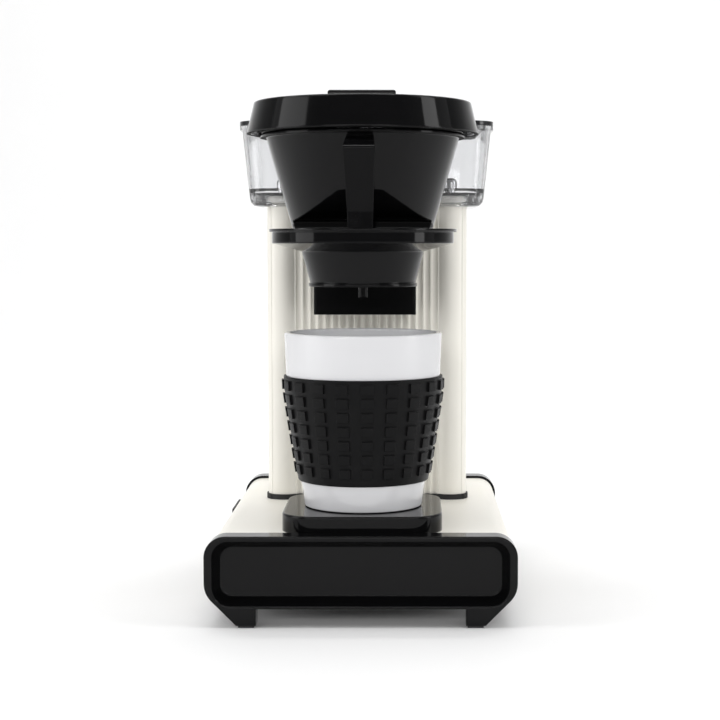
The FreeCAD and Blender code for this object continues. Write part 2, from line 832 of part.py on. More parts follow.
def make_tower():
    gasket = new_body("tower_gasket", y="tower_y", z="sleeve_top")
    tower_outline(gasket, "gasket_overhang", "gasket_height")
    plane_feature(gasket, "XY", [cavity()], "gasket_height", cut=True, reverse=True)
    node(gasket, "tower_gasket")

    body = new_body("tower", y="tower_y", z="tower_low")
    tower_outline(body, "0", "tower_height")
    plane_feature(body, "XY", [cavity()], "tower_height", cut=True, reverse=True)
    first = "-flute_pitch * (flute_count - 1) / 2"
    offset = "core_y + flute_radius - flute_depth"
    sketch = new_sketch(body, "XY")
    for side in SIDES:
        add_circle(sketch, first, side + "(" + offset + ")", "flute_radius")
    DOC.recompute()
    flute = pocket(body, sketch, "tower_height", reverse=True)
    pattern(body, flute, "LinearPattern", {"Direction": (sketch, ["H_Axis"])},
            {"Length": "flute_pitch * (flute_count - 1)", "Occurrences": "flute_count"})
    plane_feature(body, "XZ", bracket_holes("tower_low"), "tower_depth", cut=True, reverse=True)
    node(body, "tower")

    cap = new_body("tower_cap", y="tower_y", z="tower_top")
    plate = oblong("tower_width / 2 - cap_inset", "tower_depth / 2 - cap_inset", "column_radius - cap_inset")
    plane_feature(cap, "XY", [plate], "cap_height")
    plane_feature(cap, "XY", rod_holes() + water_holes(), "cap_height", cut=True, reverse=True)
    node(cap, "tower_cap")


def water_holes():
    """Where the riser and the strainer's stem pass the tank's floor, from the tower's middle."""
    back = "riser_setback - tower_setback"
    return [("0", back, "riser_radius"), ("hose_reach", back, "hose_radius")]


def bracket_holes(base):
    spots = []
    for side in SIDES:
        for height in ("bracket_screw_low", "bracket_screw_high"):
            spots.append((side + "bracket_screw_reach", height + " - " + base, "bracket_screw_radius"))
    return spots


def make_tie_rods():
    rods = []
    nuts = []
    low = "sleeve_top - sleeve_wall - rod_tail"
    for u, v in column_spots():
        spot = {"x": u, "y": "tower_y + " + v}
        rods.append(cylinder("rod_radius", "floor_top - (%s)" % low, z=low, **spot))
        nut = cylinder("nut_radius", "nut_height", z="sleeve_top - sleeve_wall - nut_height", **spot)
        bore = cylinder("rod_radius", "3 * nut_height", z=low, **spot)
        nuts.append(cut(nut, bore))
        dome = new_body("dome_nut", z="floor_top", **spot)
        revolve(dome, [
            ("0", "0"),
            ("nut_radius", "0"),
            ("nut_radius", "dome_height", "dome_round"),
            ("0", "dome_height"),
        ])
        nuts.append(dome)
    node(group(rods), "tie_rods")
    node(group(nuts), "rod_nuts")


def tank_foot():
    """Outlines of the tank's lower edge, which rounds inwards from its wall to its foot."""
    outlines = []
    for angle in (0, 30, 60, 90):
        lift = "tank_foot_round * %.4f" % (1 - math.cos(math.radians(angle)))
        inset = "tank_foot_round * %.4f" % (1 - math.sin(math.radians(angle)))
        outlines.append((lift, oblong("tank_low_width / 2 - " + inset, "tank_low_depth / 2 - " + inset,
                                      "tank_low_corner - " + inset)))
    return outlines


def make_tank():
    body = new_body("tank", y="tower_y", z="skirt_height")
    high = oblong("tank_high_width / 2", "tank_high_depth / 2", "tank_high_corner")
    loft(body, tank_foot() + [("tank_height", high)])
    lip = oblong("lip_width / 2", "lip_depth / 2", "lip_corner")
    plane_feature(body, "XY", [lip], "tank_lip_height", lift="tank_height - tank_lip_height")
    inner_low = oblong("inner_low_width / 2", "inner_low_depth / 2", "tank_low_corner - tank_wall / 2")
    inner_high = oblong("inner_high_width / 2", "inner_high_depth / 2", "tank_high_corner - tank_wall")
    loft(body, [("floor_top - skirt_height", inner_low), ("tank_height", inner_high)], cut=True)
    skirt = oblong("tank_low_width / 2 - tank_wall", "tank_low_depth / 2 - tank_wall", "tank_low_corner - tank_wall")
    plane_feature(body, "XY", [skirt], "floor_low - skirt_height - tank_wall", lift="tank_wall",
                  cut=True, reverse=True)
    mouth = oblong("tower_width / 2 + tank_foot_play", "tower_depth / 2 + tank_foot_play",
                   "column_radius + tank_foot_play")
    plane_feature(body, "XY", [mouth], "tank_wall", cut=True, reverse=True)
    holes = rod_holes() + water_holes()
    plane_feature(body, "XY", holes, "tank_height / 2", cut=True, reverse=True)
    node(body, "tank")

    seal = new_body("tank_seal", y="tower_y", z="cap_top")
    plane_feature(seal, "XY", [skirt], "seal_height")
    plane_feature(seal, "XY", holes, "seal_height", cut=True, reverse=True)
    node(seal, "tank_seal")


def make_tank_lid():
    body = new_body("tank_lid", y="tower_y", z="tank_lid_low")
    plate = oblong("lip_width / 2", "lip_depth / 2", "lip_corner")
    plane_feature(body, "XY", [plate], "tank_lid_thickness")
    grip = oblong("grip_width / 2", "grip_depth / 2", "grip_round", "grip_setback")
    plane_feature(body, "XY", [grip], "grip_height", lift="tank_lid_thickness")
    round_edges(body, level_with(number("tank_lid_thickness + grip_height")), "grip_height / 3")
    play = "tank_wall + tank_lid_play"
    outer = oblong("tank_high_width / 2 - (%s)" % play, "tank_high_depth / 2 - (%s)" % play,
                   "tank_high_corner - (%s)" % play)
    inset = play + " + tank_lid_rib"
    inner = oblong("tank_high_width / 2 - (%s)" % inset, "tank_high_depth / 2 - (%s)" % inset,
                   "tank_high_corner - (%s)" % inset)
    plane_feature(body, "XY", [outer, inner], "tank_lid_skirt", reverse=True)
    front = "-lip_depth"
    back = "riser_setback - tower_setback + arm_notch"
    notch = [
        ("-arm_notch", front),
        ("arm_notch", front),
        ("arm_notch", back, "arm_notch - 1"),
        ("-arm_notch", back, "arm_notch - 1"),
    ]
    plane_feature(body, "XY", [notch], "2 * tank_lid_skirt + tank_lid_thickness",
                  lift="tank_lid_thickness", cut=True)
    node(body, "tank_lid")


def make_water_path():
    at_riser = {"y": "riser_y"}
    tube = cylinder("riser_radius", "riser_top - boiler_high", z="boiler_high", **at_riser)
    bore = cylinder("riser_bore", "riser_top - boiler_high", z="boiler_high", **at_riser)
    node(cut(tube, bore), "riser_tube")
    shell = cylinder("boiler_radius", "boiler_high - boiler_low", z="boiler_low", **at_riser)
    passage = cylinder("boiler_bore", "boiler_high - boiler_low", z="boiler_low", **at_riser)
    node(cut(shell, passage), "boiler")
    length = "boiler_high - boiler_low + 2 * element_overhang"
    beside = "boiler_radius + element_radius"
    node(cylinder("element_radius", length, x=beside, z="boiler_low - element_overhang", **at_riser),
         "heating_element")
    node(cylinder("thermostat_radius", "thermostat_height", x="-boiler_radius - thermostat_height",
                  z="(boiler_low + boiler_high) / 2", turn=ALONG_X, **at_riser), "thermostat")

    valve = new_body("check_valve", y="riser_y", z="valve_low")
    revolve(valve, [
        ("0", "0"),
        ("valve_neck", "0"),
        ("valve_neck", "valve_length / 5"),
        ("valve_radius", "valve_length / 4"),
        ("valve_radius", "3 * valve_length / 4"),
        ("valve_neck", "4 * valve_length / 5"),
        ("valve_neck", "valve_length"),
        ("0", "valve_length"),
    ])
    node(valve, "check_valve")

    hose = new_body("inlet_hose", y="riser_y")
    path = new_sketch(hose, "XZ")
    add_loop(path, [("hose_reach", "hose_top"), ("hose_reach", "valve_mid", "hose_bend"),
                    ("valve_radius", "valve_mid")], closed=False)
    ring = new_sketch(hose, "XY", "hose_top")
    add_circle(ring, "hose_reach", "0", "hose_radius")
    add_circle(ring, "hose_reach", "0", "hose_bore")
    DOC.recompute()
    pipe = hose.newObject("PartDesign::AdditivePipe", "pipe")
    pipe.Profile = ring
    pipe.Spine = path
    DOC.recompute()
    node(hose, "inlet_hose")

    strainer = new_body("inlet_strainer", x="hose_reach", y="riser_y", z="hose_top")
    seat = "floor_top - hose_top"
    revolve(strainer, [
        ("hose_bore", "0"),
        ("hose_radius", "0"),
        ("hose_radius", seat),
        ("strainer_flange", seat),
        ("strainer_flange", seat + " + strainer_height", "strainer_round"),
        ("hose_bore", seat + " + strainer_height"),
    ])
    node(strainer, "inlet_strainer")


def make_outlet_arm():
    body = new_body("outlet_arm", y="pour_y", z="arm_low")
    front = "-arm_half_width"
    back = "riser_reach + arm_half_width"
    bar = [
        ("-arm_half_width", front, "arm_half_width - 0.5"),
        ("arm_half_width", front, "arm_half_width - 0.5"),
        ("arm_half_width", back, "arm_half_width - 0.5"),
        ("-arm_half_width", back, "arm_half_width - 0.5"),
    ]
    plane_feature(body, "XY", [bar], "arm_height")
    round_edges(body, level_with(number("arm_height")), "arm_edge")
    plane_feature(body, "XY", [("0", "riser_reach", "riser_radius")], "arm_socket", cut=True, reverse=True)
    node(body, "outlet_arm")

    spray = new_body("spray_head", y="pour_y", z="arm_low - spray_height")
    revolve(spray, [
        ("0", "0"),
        ("spray_radius", "0", "spray_round"),
        ("spray_radius", "spray_height / 2"),
        ("spray_radius / 2", "spray_height"),
        ("0", "spray_height"),
    ])
    sketch = new_sketch(spray, "XY")
    add_circle(sketch, "spray_ring", "0", "spray_hole")
    DOC.recompute()
    hole = pocket(spray, sketch, "spray_height / 3", reverse=True)
    pattern(spray, hole, "PolarPattern", {"Axis": (sketch, ["N_Axis"]), "Angle": 360.0},
            {"Occurrences": "spray_holes"})
    node(spray, "spray_head")


def cone_radius(height):
    return "cone_low_radius + (%s - cone_low) * cone_slope" % height


def cut_bellies(body, inset, foot):
    """Cut both broad sides of a cone away under a rounded belly, which stands on a narrow neck."""
    loops = []
    for side in SIDES:
        loops.append([
            (side + "(belly_neck_reach - %s)" % inset, foot),
            (side + "(belly_neck_reach - %s)" % inset, "cone_low + belly_neck + " + inset),
            (side + "(belly_corner_reach - %s)" % inset, "cone_low + belly_corner + " + inset, "belly_round"),
            (side + "(belly_top_reach - %s)" % inset, "cone_low + belly_top + " + inset),
            (side + "rim_flange_radius", "cone_low + belly_top + " + inset),
            (side + "rim_flange_radius", foot),
        ])
    plane_feature(body, "YZ", loops, "2 * rim_flange_radius", lift="-rim_flange_radius", cut=True, reverse=True)


def make_basket():
    body = new_body("filter_outside", y="pour_y")
    revolve(body, [
        ("0", "nozzle_low"),
        ("nozzle_radius", "nozzle_low"),
        ("nozzle_radius", "collar_foot"),
        ("collar_lip_radius", "collar_foot"),
        ("collar_lip_radius", "collar_low"),
        ("collar_low_radius", "collar_low"),
        ("collar_high_radius", "collar_high"),
        ("saucer_radius", "saucer_low"),
        ("saucer_radius", "cone_low - saucer_lip"),
        ("saucer_lip_radius", "cone_low - saucer_lip"),
        ("saucer_lip_radius", "cone_low"),
        ("cone_low_radius", "cone_low"),
        ("cone_high_radius", "rim_flange_low"),
        ("rim_flange_radius", "rim_flange_low"),
        ("rim_flange_radius", "basket_top"),
        ("0", "basket_top"),
    ])
    cut_bellies(body, "0", "cone_low")
    room = new_body("filter_room", y="pour_y")
    above = "basket_top + basket_wall"
    below = "nozzle_low - basket_wall"
    revolve(room, [
        ("0", below),
        ("nozzle_bore", below),
        ("nozzle_bore", "funnel_low"),
        ("funnel_radius", "funnel_low", "funnel_round"),
        ("cone_low_radius - basket_wall", "cone_low"),
        (cone_radius(above) + " - basket_wall", above),
        ("0", above),
    ])
    cut_bellies(room, "basket_wall", below)
    node(cut(body, room), "filter_basket")


def make_handle(basket):
    body = new_body("handle", y="pour_y")
    root = "-(cone_low_radius + (handle_top - cone_low) * cone_slope - basket_wall)"
    profile = [
        (root, "handle_top"),
        ("-handle_reach", "handle_bend", "handle_bend_round"),
        ("-handle_foot", "cone_low + handle_foot_height"),
        ("-handle_foot", "cone_low"),
        ("-handle_foot + handle_foot_depth", "cone_low"),
        ("-handle_foot + handle_foot_depth", "cone_low + handle_foot_height"),
        ("-handle_reach + handle_grip_depth", "handle_bend - handle_grip_drop", "handle_grip_round"),
        (root, "handle_top - handle_root_depth"),
    ]
    plane_feature(body, "YZ", [profile], "handle_width", lift="-handle_width / 2")
    beyond = "handle_width"
    trims = []
    for side in SIDES:
        trims.append([
            (side + "handle_low_width / 2", "cone_low - handle_trim"),
            (side + "handle_width / 2", "handle_bend"),
            (side + "handle_high_width / 2", "handle_top + handle_trim"),
            (side + beyond, "handle_top + handle_trim"),
            (side + beyond, "cone_low - handle_trim"),
        ])
    plane_feature(body, "XZ", trims, "2 * handle_reach", cut=True, reverse=True)
    fitted = cut(body, basket)
    node(fitted, "basket_handle")


def make_basket_lid():
    body = new_body("basket_lid", y="pour_y")
    revolve(body, [
        ("lid_low_radius - lid_wall", "lid_low"),
        ("lid_low_radius", "lid_low"),
        ("lid_high_radius", "lid_high", "lid_edge"),
        ("0", "lid_high"),
        ("0", "lid_underside"),
        ("lid_seat_inner", "lid_underside"),
        ("lid_seat_inner", "lid_seat"),
        ("lid_seat_outer", "lid_seat"),
        ("lid_seat_outer", "lid_underside"),
        ("lid_high_radius - lid_wall", "lid_underside", "lid_edge"),
    ])
    half = "tunnel_width / 2"
    rear = "lid_high_radius - lid_edge"
    roof = span("-" + half, "-tunnel_front", half, rear)
    plane_feature(body, "XY", [roof], "tunnel_top - lid_underside", lift="lid_underside")
    round_edges(body, level_with(number("tunnel_top")), "tunnel_edge")
    inner = "tunnel_width / 2 - tunnel_wall"
    passage = span("-(%s)" % inner, "-(tunnel_front - tunnel_wall)", inner, "2 * lid_low_radius")
    plane_feature(body, "XY", [passage], "tunnel_top - tunnel_wall - rim_flange_low",
                  lift="rim_flange_low", cut=True, reverse=True)
    node(body, "basket_lid")


def make_bracket():
    body = new_body("basket_bracket", y="pour_y")
    half = "bracket_width / 2"
    block = span("-" + half, "bracket_front", half, "panel_face")
    plane_feature(body, "XY", [block], "bracket_high - bracket_low", lift="bracket_low")

    def front_upright(edge):
        bounds = edge.BoundBox
        return abs(bounds.YMax - number("bracket_front")) < 0.01 and bounds.ZLength > 1
    round_edges(body, front_upright, "bracket_edge")
    play = " + bracket_play"
    revolve(body, [
        ("0", "collar_foot - bracket_play"),
        ("collar_lip_radius" + play, "collar_foot - bracket_play"),
        ("collar_high_radius" + play, "collar_high - bracket_play"),
        ("saucer_radius" + play, "saucer_low - bracket_play"),
        ("saucer_lip_radius" + play, "saucer_low - bracket_play"),
        ("saucer_lip_radius" + play, "cone_low" + play),
        ("cone_low_radius + bracket_ease", "cone_low" + play),
        (cone_radius("bracket_high") + " + bracket_ease", "bracket_high" + play),
        ("0", "bracket_high" + play),
    ], kind="Groove")
    inner = half + " - bracket_cheek"
    low_hollow = span("-(%s)" % inner, "bracket_low + bracket_wall", inner, "collar_high - 2 * bracket_wall")
    plane_feature(body, "XZ", [low_hollow], "panel_face - bracket_front - bracket_wall", lift="-panel_face",
                  cut=True, reverse=True)
    high_hollow = span("-(%s)" % inner, "collar_high - 2 * bracket_wall", inner, "bracket_high - bracket_wall")
    plane_feature(body, "XZ", [high_hollow], "panel_face - saucer_lip_radius - bracket_wall", lift="-panel_face",
                  cut=True, reverse=True)
    plane_feature(body, "XZ", bracket_holes("0"), "bracket_screw_grip", lift="-panel_face", cut=True, reverse=True)
    node(body, "basket_bracket")
    screws = []
    for x, z, radius in bracket_holes("0"):
        face = "pour_y + panel_face"
        shank = cylinder(radius, "bracket_screw_grip + tower_wall", x, face + " - bracket_screw_grip", z, ALONG_Y)
        head = cylinder("2 * " + radius, "screw_head_height", x, face + " + tower_wall", z, ALONG_Y)
        screw = DOC.addObject("Part::Fuse", "screw")
        screw.Base = shank
        screw.Tool = head
        screws.append(screw)
    node(group(screws), "bracket_screws")


def make_switch():
    body = new_body("switch_housing", x="-half_sleeve", y="switch_y", z="switch_height")
    bezel = oblong("switch_length / 2 + bezel_overlap", "switch_tall / 2 + bezel_overlap", "bezel_overlap")
    plane_feature(body, "YZ", [bezel], "bezel_thickness", reverse=True)
    shell = oblong("switch_length / 2", "switch_tall / 2")
    plane_feature(body, "YZ", [shell], "switch_depth")
    well = oblong("rocker_length / 2 + 2 * rocker_play", "rocker_tall / 2 + rocker_play")
    depth = "bezel_thickness + 4 * rocker_sink"
    plane_feature(body, "YZ", [well], depth, lift="-bezel_thickness", cut=True, reverse=True)
    bore = [("rocker_sink", "0", "pin_radius")]
    plane_feature(body, "XY", bore, "switch_tall", lift="-switch_tall / 2", cut=True, reverse=True)
    node(body, "switch_housing")
    node(cylinder("pin_radius", "switch_tall - 1", x="-rocker_pivot", y="switch_y",
                  z="switch_height - (switch_tall - 1) / 2"), "rocker_pin")

    rocker = new_body("switch_rocker", x="-rocker_pivot", y="switch_y", z="switch_height",
                      turn=((0, 0, 1), number("rocker_tilt")))
    half = "rocker_length / 2"
    profile = [
        ("-(rocker_proud)", "-" + half),
        ("-(rocker_proud - rocker_dip)", "0", "40"),
        ("-(rocker_proud)", half),
        ("rocker_proud", half),
        ("2 * rocker_proud", half + " - 2 * rocker_proud"),
        ("2 * rocker_proud", "-(%s - 2 * rocker_proud)" % half),
        ("rocker_proud", "-" + half),
    ]
    plane_feature(rocker, "XY", [profile], "rocker_tall", lift="-rocker_tall / 2")
    plane_feature(rocker, "XY", [("0", "0", "pin_radius + pin_play")], "rocker_tall", lift="-rocker_tall / 2",
                  cut=True, reverse=True)
    node(rocker, "switch_rocker")


def make_mains_side():
    node(box("block_length", "block_depth", "block_tall", "gland_reach - block_length / 2",
             "block_setback - origin_setback", "sleeve_foot + pan_wall"), "terminal_block")
    gland = new_body("cord_gland", x="gland_reach", y="rear_y - recess_depth", z="gland_height", turn=((1, 0, 0), -90))
    inner = "-(plate_thickness - recess_depth + gland_tail)"
    revolve(gland, [
        ("gland_bore", inner),
        ("gland_radius", inner),
        ("gland_radius", "0"),
        ("gland_flange_radius", "0"),
        ("gland_flange_radius", "gland_flange", "gland_round"),
        ("gland_bore", "gland_flange"),
    ])
    node(gland, "cord_gland")


def write_parts():
    DOC.recompute()
    failed = [item for item in DOC.Objects if "Invalid" in item.State or "Error" in item.State]
    for item in failed:
        owner = item.getParentGeoFeatureGroup()
        print("failed:", item.Name, "in", owner.Label if owner else "the document")
    if failed:
        raise RuntimeError("%d objects failed" % len(failed))
    for item in NODES:
        if item.Shape.isNull() or not item.Shape.isValid():
            raise RuntimeError("%s has no sound shape" % item.Label)
        item.Shape.exportStep("parts/%s.step" % item.Label)


make_end_plates()
make_sleeve()
make_pan()
make_tie_bars()
make_foot_pads()
make_cup_plate()
make_mug()
make_mug_sleeve()
make_tower()
make_tie_rods()
make_tank()
make_tank_lid()
make_water_path()
make_outlet_arm()
make_basket()
make_handle(NODES[-1])
make_basket_lid()
make_bracket()
make_switch()
make_mains_side()
write_parts()
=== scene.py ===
import json
import math

import bpy
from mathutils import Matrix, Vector


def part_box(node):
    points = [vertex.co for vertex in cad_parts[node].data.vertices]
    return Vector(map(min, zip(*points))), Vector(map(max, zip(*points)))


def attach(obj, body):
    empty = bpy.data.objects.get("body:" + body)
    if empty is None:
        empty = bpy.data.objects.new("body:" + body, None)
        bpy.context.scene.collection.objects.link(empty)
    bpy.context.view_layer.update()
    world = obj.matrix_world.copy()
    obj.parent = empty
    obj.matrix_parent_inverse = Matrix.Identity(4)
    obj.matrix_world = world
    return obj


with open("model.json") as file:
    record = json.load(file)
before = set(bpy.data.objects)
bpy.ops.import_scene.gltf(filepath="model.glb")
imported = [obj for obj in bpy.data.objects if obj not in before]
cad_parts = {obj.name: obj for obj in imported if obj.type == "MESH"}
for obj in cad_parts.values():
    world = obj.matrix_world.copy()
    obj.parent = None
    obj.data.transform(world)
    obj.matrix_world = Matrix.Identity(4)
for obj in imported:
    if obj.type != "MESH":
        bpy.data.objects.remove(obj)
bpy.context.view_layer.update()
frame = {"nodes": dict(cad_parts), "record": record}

NODES = frame["nodes"]
MM = 0.001

# Camera, from the photograph's perspective: pixels of the square frame, metres and degrees.
FRAME_PX = 720
FOCAL_PX = 1620
PRINCIPAL_X_PX = 407.7
SENSOR_MM = 36.0
CAMERA_PLACE = (0.0239, -0.9186, 0.1946)
CAMERA_PITCH = -4.05

# The floor and the wall behind the object, in metres.
SWEEP_WIDTH = 18.0
SWEEP_FRONT = -7.0
SWEEP_BEND = 1.3
SWEEP_RADIUS = 0.9
SWEEP_TOP = 4.0
SWEEP_STEPS = 24
FLOOR_GAP = 0.0002
FLOOR_GREY = 0.85

# The room's brightness in front of the object, which black plastic mirrors, and behind it.
# Between the two it changes with how far a direction leans forwards or backwards.
ROOM_FRONT = 0.2
ROOM_BACK = 0.8
ROOM_LEAN = 0.6

# The share of a noise's range that is spread over the full change of tone or roughness.
NOISE_LOW = 0.3
NOISE_HIGH = 0.7

# Upright share of the normal at which a face counts as an underside, at first and in full.
UNDERSIDE_FIRST = -0.975
UNDERSIDE_FULL = -0.995

# The switch rocker, in mm and degrees: its pin, its tilt at rest, and the depth and slope of its dished face.
ROCKER_PIN = (-76.3, 46.1, 31.0)
ROCKER_TILT = 5.5
ROCKER_DISH = 0.8
ROCKER_SLOPE = 1.2 / 15.5

# The printed signs on the rocker, in mm. Each stroke lies between an inner and an outer line:
# two radii for off, two pairs of half width and half height for on.
MARK_REACH = 9.0
MARK_PROUD = 0.06
OFF_INNER = 1.5
OFF_OUTER = 2.1
ON_INNER = (0.02, 2.0)
ON_OUTER = (0.32, 2.3)

# The cross recess of a screw head, drawn as a flat dark cross of painted shade, in mm: (reach, half width) of
# its arms and of the small gap at its middle.
CROSS_OUTER = (2.1, 0.42)
CROSS_INNER = (0.06, 0.02)
CROSS_PROUD = 0.02

# How deep the raised bands reach under the surface that carries them, in mm.
BAND_SINK = 0.2


def srgb(r, g, b):
    """Linear colour of an 8-bit sRGB value."""
    def channel(v):
        v /= 255
        return v / 12.92 if v <= 0.04045 else ((v + 0.055) / 1.055) ** 2.4
    return (channel(r), channel(g), channel(b), 1.0)


def link_object(name, data):
    """Put a new object with the given data in the scene."""
    made = bpy.data.objects.new(name, data)
    bpy.context.scene.collection.objects.link(made)
    return made


class Finish:
    """One procedural material: a Principled shader with noise for tone, roughness and grain.

    Further values are named after the shader's sockets, such as coat_weight for Coat Weight.
    """

    def __init__(self, name, color, rough, **sockets):
        self.name = name
        self.color = color
        self.rough = rough
        self.normal = None
        self.material = bpy.data.materials.new(name)
        self.material.use_nodes = True
        self.tree = self.material.node_tree
        self.shader = self.tree.nodes["Principled BSDF"]
        self.set_socket("Base Color", color)
        self.set_socket("Roughness", rough)
        for socket, value in sockets.items():
            self.set_socket(socket.replace("_", " ").title().replace("Ior", "IOR"), value)

    def set_socket(self, socket, value):
        self.shader.inputs[socket].default_value = value

    def add(self, kind, **values):
        made = self.tree.nodes.new(kind)
        for key, value in values.items():
            setattr(made, key, value)
        return made

    def link(self, source, target):
        self.tree.links.new(source, target)

    def use_normal(self, source):
        self.normal = source
        self.link(source, self.shader.inputs["Normal"])

    def noise(self, scale, detail, stretch=None):
        """A noise in metres of the object's own frame; stretch squeezes it along the axes."""
        place = self.add("ShaderNodeTexCoord")
        made = self.add("ShaderNodeTexNoise")
        made.inputs["Scale"].default_value = scale
        made.inputs["Detail"].default_value = detail
        source = place.outputs["Object"]
        if stretch:
            mapping = self.add("ShaderNodeMapping")
            mapping.inputs["Scale"].default_value = stretch
            self.link(source, mapping.inputs["Vector"])
            source = mapping.outputs["Vector"]
        self.link(source, made.inputs["Vector"])
        return made.outputs["Fac"]

    def spread(self, fac, low, high):
        """Map the middle of a noise's range onto low to high."""
        made = self.add("ShaderNodeMapRange")
        made.inputs["From Min"].default_value = NOISE_LOW
        made.inputs["From Max"].default_value = NOISE_HIGH
        made.inputs["To Min"].default_value = low
        made.inputs["To Max"].default_value = high
        self.link(fac, made.inputs["Value"])
        return made.outputs["Result"]

    def tone(self, scale, share):
        """Let the colour drift by the given share."""
        made = self.add("ShaderNodeMix", data_type="RGBA")
        dark = tuple(c * (1 - share) for c in self.color[:3]) + (1.0,)
        light = tuple(min(1.0, c * (1 + share)) for c in self.color[:3]) + (1.0,)
        made.inputs["A"].default_value = dark
        made.inputs["B"].default_value = light
        self.link(self.spread(self.noise(scale, detail=3.0), 0, 1), made.inputs["Factor"])
        self.link(made.outputs["Result"], self.shader.inputs["Base Color"])
        return self

    def wear(self, scale, swing):
        """Let the roughness drift, as handled and wiped surfaces do."""
        drift = self.spread(self.noise(scale, detail=4.0), self.rough - swing, self.rough + swing)
        self.link(drift, self.shader.inputs["Roughness"])
        return self

    def dull_undersides(self, rough):
        """Leave faces that look straight down as moulded, without the polish of the rest."""
        place = self.add("ShaderNodeNewGeometry")
        split = self.add("ShaderNodeSeparateXYZ")
        facing = self.add("ShaderNodeMapRange")
        facing.inputs["From Min"].default_value = UNDERSIDE_FIRST
        facing.inputs["From Max"].default_value = UNDERSIDE_FULL
        facing.inputs["To Max"].default_value = rough
        most = self.add("ShaderNodeMath", operation="MAXIMUM")
        socket = self.shader.inputs["Roughness"]
        self.link(place.outputs["Normal"], split.inputs["Vector"])
        self.link(split.outputs["Z"], facing.inputs["Value"])
        self.link(socket.links[0].from_socket, most.inputs[0])
        self.link(facing.outputs["Result"], most.inputs[1])
        self.link(most.outputs["Value"], socket)
        return self

    def soft_edges(self, radius):
        """Shade sharp edges as if rounded by a radius in metres."""
        made = self.add("ShaderNodeBevel", samples=6)
        made.inputs["Radius"].default_value = radius
        self.use_normal(made.outputs["Normal"])
        return self

    def grain(self, scale, height, stretch=None):
        """Add a fine relief of the given height in metres."""
        made = self.add("ShaderNodeBump")
        made.inputs["Distance"].default_value = height
        self.link(self.noise(scale, detail=2.0, stretch=stretch), made.inputs["Height"])
        if self.normal:
            self.link(self.normal, made.inputs["Normal"])
        self.use_normal(made.outputs["Normal"])
        return self


CREAM = srgb(240, 237, 228)
INK = srgb(8, 8, 9)
SATIN_INK = srgb(4, 4, 5)
SLEEVE_INK = srgb(6, 6, 7)
RUBBER = srgb(20, 20, 21)
ROCKER = srgb(21, 21, 22)
SMOKE = srgb(38, 38, 41)
CLEAR = (0.93, 0.935, 0.945, 1)
MILKY = srgb(226, 224, 217)
GLAZE = srgb(213, 213, 215)
STEEL = srgb(205, 205, 207)
ALUMINIUM = srgb(214, 214, 216)
BRASS = srgb(214, 178, 108)
PRINT = srgb(214, 214, 212)
# Painted shade: the dark colour of the flat crosses that stand in for the screw heads' cross recesses.
PAINTED_RECESS_SHADE = srgb(30, 30, 31)
PAPER = (FLOOR_GREY, FLOOR_GREY, FLOOR_GREY, 1)
BRUSHED_UPRIGHT = (1, 1, 0.05)


def make_finishes():
    """The finish of each material slot, and black_grip, which is the basket handle's own."""
    made = (
        Finish("cream_paint", CREAM, rough=0.42, coat_weight=0.12)
        .tone(scale=9, share=0.015).wear(scale=30, swing=0.06)
        .grain(scale=2600, height=0.000006),

        Finish("black_gloss", INK, rough=0.07, specular_ior_level=0.17)
        .tone(scale=40, share=0.12).wear(scale=55, swing=0.025).dull_undersides(rough=0.7)
        .soft_edges(radius=0.0014).grain(scale=700, height=0.000002),

        Finish("black_grip", INK, rough=0.16, specular_ior_level=0.1)
        .tone(scale=60, share=0.12).wear(scale=70, swing=0.05)
        .soft_edges(radius=0.0008).grain(scale=1500, height=0.000006),

        Finish("black_satin", SATIN_INK, rough=0.34, specular_ior_level=0.07)
        .tone(scale=60, share=0.12).wear(scale=80, swing=0.07)
        .soft_edges(radius=0.0004).grain(scale=3200, height=0.00002),

        Finish("clear_plastic", CLEAR, rough=0.05, transmission_weight=0.95, ior=1.49)
        .wear(scale=45, swing=0.02),

        Finish("smoke_plastic", SMOKE, rough=0.10, transmission_weight=0.35, ior=1.49)
        .tone(scale=40, share=0.10).wear(scale=45, swing=0.03)
        .soft_edges(radius=0.0004),

        Finish("porcelain", GLAZE, rough=0.10, coat_weight=0.3)
        .tone(scale=14, share=0.012).wear(scale=25, swing=0.03)
        .grain(scale=60, height=0.00004),

        Finish("silicone", SLEEVE_INK, rough=0.42, specular_ior_level=0.14)
        .tone(scale=50, share=0.15).wear(scale=90, swing=0.06)
        .soft_edges(radius=0.0005).grain(scale=4200, height=0.00002),

        Finish("rubber_black", RUBBER, rough=0.65)
        .tone(scale=80, share=0.15).wear(scale=90, swing=0.06)
        .grain(scale=3600, height=0.00004),

        Finish("clear_silicone", MILKY, rough=0.4, transmission_weight=0.4)
        .tone(scale=70, share=0.04).wear(scale=90, swing=0.05),

        Finish("steel", STEEL, rough=0.28, metallic=1.0)
        .tone(scale=120, share=0.05).wear(scale=160, swing=0.07)
        .grain(scale=700, height=0.00001, stretch=BRUSHED_UPRIGHT),

        Finish("boiler_metal", ALUMINIUM, rough=0.42, metallic=1.0)
        .tone(scale=90, share=0.06).wear(scale=120, swing=0.08)
        .grain(scale=1400, height=0.00004),

        Finish("valve_metal", BRASS, rough=0.30, metallic=1.0)
        .tone(scale=90, share=0.06).wear(scale=140, swing=0.06)
        .grain(scale=900, height=0.00001),

        Finish("rocker_plastic", ROCKER, rough=0.18)
        .tone(scale=60, share=0.12).wear(scale=80, swing=0.05)
        .soft_edges(radius=0.0004).grain(scale=1800, height=0.000008),
    )
    return {finish.name: finish for finish in made}


def dress_nodes(finishes):
    for row in frame["record"]["subparts"]:
        piece = NODES[row["node"]]
        finish = finishes["black_grip" if row["node"] == "basket_handle" else row["material_slot"]]
        piece.data.materials.clear()
        piece.data.materials.append(finish.material)


